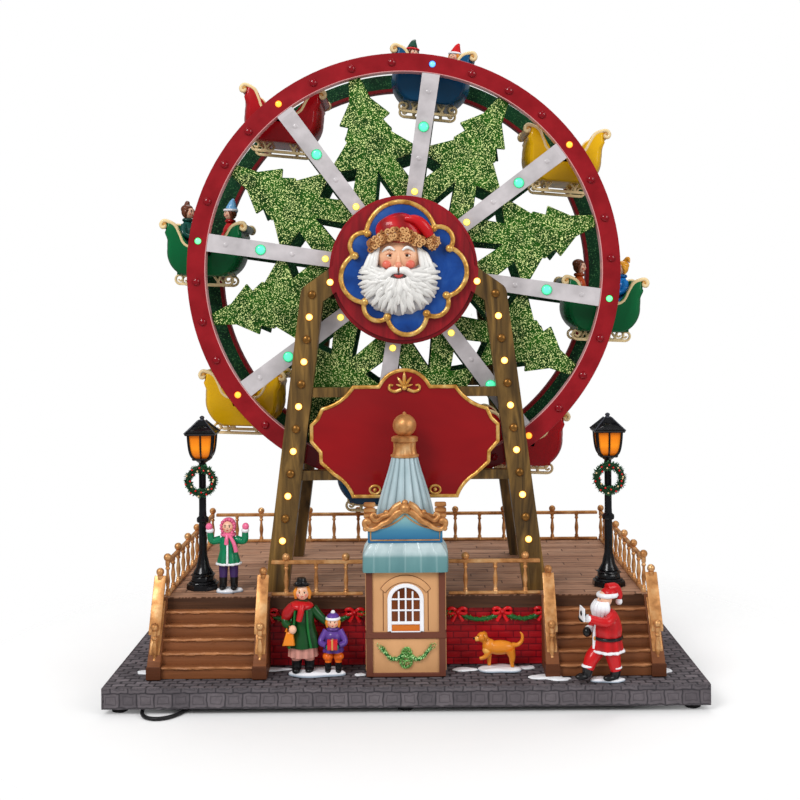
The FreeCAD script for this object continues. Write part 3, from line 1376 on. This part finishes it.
# Strain relief: a tapered sleeve that leads the cord out of the trough's end wall
relief_x = value(RECESS_X)
wire = size("cord_diameter") / 2
relief_back = value(RECESS_FRONT) + size("trough_length") - 1.5
relief_front = relief_back - size("relief_length")
relief_z = size("foot_height") + 0.8
sleeve = Part.makeCone(wire + 1.2, wire + 0.5, size("relief_length"), Vector(relief_x, relief_back, relief_z),
                       Vector(0, -1, 0))
flange = Part.makeCylinder(wire + 1.9, 2, Vector(relief_x, relief_back, relief_z), Vector(0, -1, 0))
feature("strain_relief", together([sleeve, flange]))

# Cord: its route from the relief, out under the front edge, back under the tray to the coil behind it,
# and then from the coil to the adaptor
floor = wire + 0.05
ROUTE = [
    (relief_x, relief_front, relief_z), (relief_x, relief_front - 8, relief_z), (-128, -86, 2.7), (-128.6, -97, 1.3),
    (-130.2, -107, floor), (-133.6, -116, floor), (-138.9, -122.8, floor), (-146, -125.4, floor),
    (-152.9, -122.2, floor), (-156.4, -114.6, floor), (-157.6, -103.6, floor), (-156.2, -88, floor),
    (-157.6, -62, floor), (-154.4, -26, floor), (-156.6, 14, floor), (-153.6, 52, floor), (-154.2, 84, floor),
    (-149.4, 109, floor), (-144.8, 127, floor), (-144, 143, floor),
]
TAIL = [(-142.6, 165.5, 8.6), (-135.6, 172.6, 5.6), (-125.4, 175, 2.8), (-114.8, 172.4, 1.4), (-105.4, 166, floor),
        (-97, 158.8, 1.8), (-88, 155, 3.2)]
adaptor_x, adaptor_y, gland_z = -73, 141, 3.2


def rounded(points):
    """Straight runs joined by tangent arcs, each as large as its two runs allow, and the arcs' radii."""
    corners = [Vector(*point) for point in points]
    edges, radii, here = [], [], corners[0]
    for before, corner, after in zip(corners, corners[1:], corners[2:]):
        back, ahead = before - corner, after - corner
        half_turn = (math.pi - back.getAngle(ahead)) / 2
        cut_back = 0.45 * min(back.Length, ahead.Length)
        radii.append(cut_back / math.tan(half_turn))
        back.normalize()
        ahead.normalize()
        start, end = corner + back * cut_back, corner + ahead * cut_back
        toward = (back + ahead).normalize()
        middle = corner + toward * (radii[-1] / math.cos(half_turn) - radii[-1])
        edges += [Part.LineSegment(here, start).toShape(), Part.Arc(start, middle, end).toShape()]
        here = end
    edges.append(Part.LineSegment(here, corners[-1]).toShape())
    return edges, radii


def biarc(start, start_way, end, end_way):
    """Two arcs that meet smoothly and keep the ways given at both ends, from their equal tangent legs."""
    apart = end - start
    ways = start_way + end_way
    a = 2 * (1 - start_way.dot(end_way))
    b = 2 * apart.dot(ways)
    c = -apart.dot(apart)
    reach = (-b + math.sqrt(b * b - 4 * a * c)) / (2 * a) if abs(a) > 1e-9 else -c / b
    knee_a, knee_b = start + start_way * reach, end - end_way * reach
    joint = (knee_a + knee_b) * 0.5
    return [arc_in(start, knee_a, joint), arc_in(joint, knee_b, end)]


def arc_in(start, knee, end):
    """The arc that touches both legs of a corner with equal legs."""
    toward = (start + end) * 0.5 - knee
    leg_long = (start - knee).Length
    half_turn = math.pi / 2 - (start - knee).getAngle(end - knee) / 2
    radius = leg_long / math.tan(half_turn)
    middle = knee + toward.normalize() * (radius / math.cos(half_turn) - radius)
    return Part.Arc(start, middle, end).toShape()


def tube(edges, start, way):
    """A round tube of the cord's diameter along the edges."""
    section = Part.Wire(Part.makeCircle(wire, start, way))
    return Part.Wire(edges).makePipeShell([section], True, False)


route_edges, route_radii = rounded(ROUTE)
feature("cord", tube(route_edges, Vector(*ROUTE[0]), Vector(*ROUTE[1]) - Vector(*ROUTE[0])))

# Coil: the put-away length, turns that spiral in and out again in layers and climb where they reverse
coil_mid = 6 * size("cord_diameter")
turns, layers = number("coil_turns"), number("coil_layers")
layer_pitch = size("cord_diameter") + 0.45
turn_pitch = size("cord_diameter") + 0.5
per_layer = turns / layers
outer_turn = coil_mid + turn_pitch * per_layer / 2
inner_turn = coil_mid - turn_pitch * per_layer / 2
lead_way = (Vector(*ROUTE[-1]) - Vector(*ROUTE[-2])).normalize()
inward = math.atan((outer_turn - inner_turn) / (2 * math.pi * per_layer * outer_turn))
start_turn = math.atan2(lead_way.y, lead_way.x) + math.pi / 2 + inward
first = Vector(*ROUTE[-1]) + lead_way * size("cord_diameter")
coil_centre = first - Vector(math.cos(start_turn), math.sin(start_turn), 0) * outer_turn


def coil_point(done):
    """The coil's middle line after some turns: it winds in and out by turns, and climbs at each reversal."""
    layer = min(int(done / per_layer), layers - 1)
    share = done / per_layer - layer
    radius = outer_turn + (inner_turn - outer_turn) * (share if layer % 2 == 0 else 1 - share)
    near = round(done / per_layer)
    climbing = 0 < near < layers and abs(done - near * per_layer) < 0.25
    level = near - 0.5 + (done - near * per_layer) * 2 if climbing else layer
    turn = start_turn - 2 * math.pi * done
    return coil_centre + Vector(radius * math.cos(turn), radius * math.sin(turn), level * layer_pitch)


def coil_way(done):
    """The way that the coil's middle line runs there."""
    tiny = 0.0005
    return (coil_point(min(done + tiny, turns)) - coil_point(max(done - tiny, 0))).normalize()


coil_edges = [Part.LineSegment(Vector(*ROUTE[-1]), coil_point(0)).toShape()]
for quarter in range(turns * 4):
    here, there = quarter / 4, (quarter + 1) / 4
    coil_edges += biarc(coil_point(here), lead_way if quarter == 0 else coil_way(here), coil_point(there),
                        coil_way(there))
tail_start = coil_point(turns) + coil_way(turns) * size("cord_diameter")
coil_edges.append(Part.LineSegment(coil_point(turns), tail_start).toShape())
feature("cord_coil", tube(coil_edges, Vector(*ROUTE[-1]), lead_way))

# Adaptor: the small plug-in supply on the end of the lead, with its gland and two round pins
gland_y = adaptor_y + size("adaptor_width") / 2
supply = block(adaptor_x, adaptor_x + size("adaptor_length"), adaptor_y, adaptor_y + size("adaptor_width"), 0,
               size("adaptor_height"))
supply = supply.makeFillet(2.4, supply.Edges)
prongs = [
    Part.makeCylinder(2, 19, Vector(adaptor_x + size("adaptor_length") - 1, gland_y + side * 9.5,
                                    size("adaptor_height") / 2), Vector(1, 0, 0)) for side in (-1, 1)
]
gland = Part.makeCylinder(size("gland_radius"), size("gland_length") + 3,
                          Vector(adaptor_x - size("gland_length"), gland_y, gland_z), Vector(1, 0, 0))
feature("adaptor", together([supply, gland] + prongs))

tail_points = [tuple(tail_start), tuple(tail_start + coil_way(turns) * 9)] + TAIL
tail_points.append((adaptor_x - size("gland_length"), gland_y, gland_z))
tail_edges, tail_radii = rounded(tail_points)
feature("cord_tail", tube(tail_edges, tail_start, coil_way(turns)))

samples = [coil_point(index / 24) for index in range(turns * 24 + 1)]
least = min((here - there).Length for index, here in enumerate(samples) for there in samples[index + 12:])
total = 0
for name, edges in (("cord", route_edges), ("cord_coil", coil_edges), ("cord_tail", tail_edges)):
    along = sum(edge.Length for edge in edges)
    total += along
    solid = next(piece for piece in pieces if piece.Label == name).Shape
    filled = solid.Volume / (math.pi * wire**2 * along)
    print(name, round(along, 1), "mm, volume to section times length", round(filled, 4))
print("whole cord", round(total), "mm, least gap in the coil", round(least - size("cord_diameter"), 2))
print("radii", [round(radius, 1) for radius in route_radii], [round(radius, 1) for radius in tail_radii])

doc.recompute()
for thing in doc.Objects:
    if "Invalid" in thing.State or "Error" in thing.State:
        raise RuntimeError(f"{thing.Name} did not build")
for piece in pieces:
    if piece.Shape.isNull() or not piece.Shape.isValid():
        raise RuntimeError(f"{piece.Label} is not a sound shape")
os.makedirs("parts", exist_ok=True)
for piece in pieces:
    piece.Shape.exportStep(f"parts/{piece.Label}.step")
print(len(pieces), "nodes")
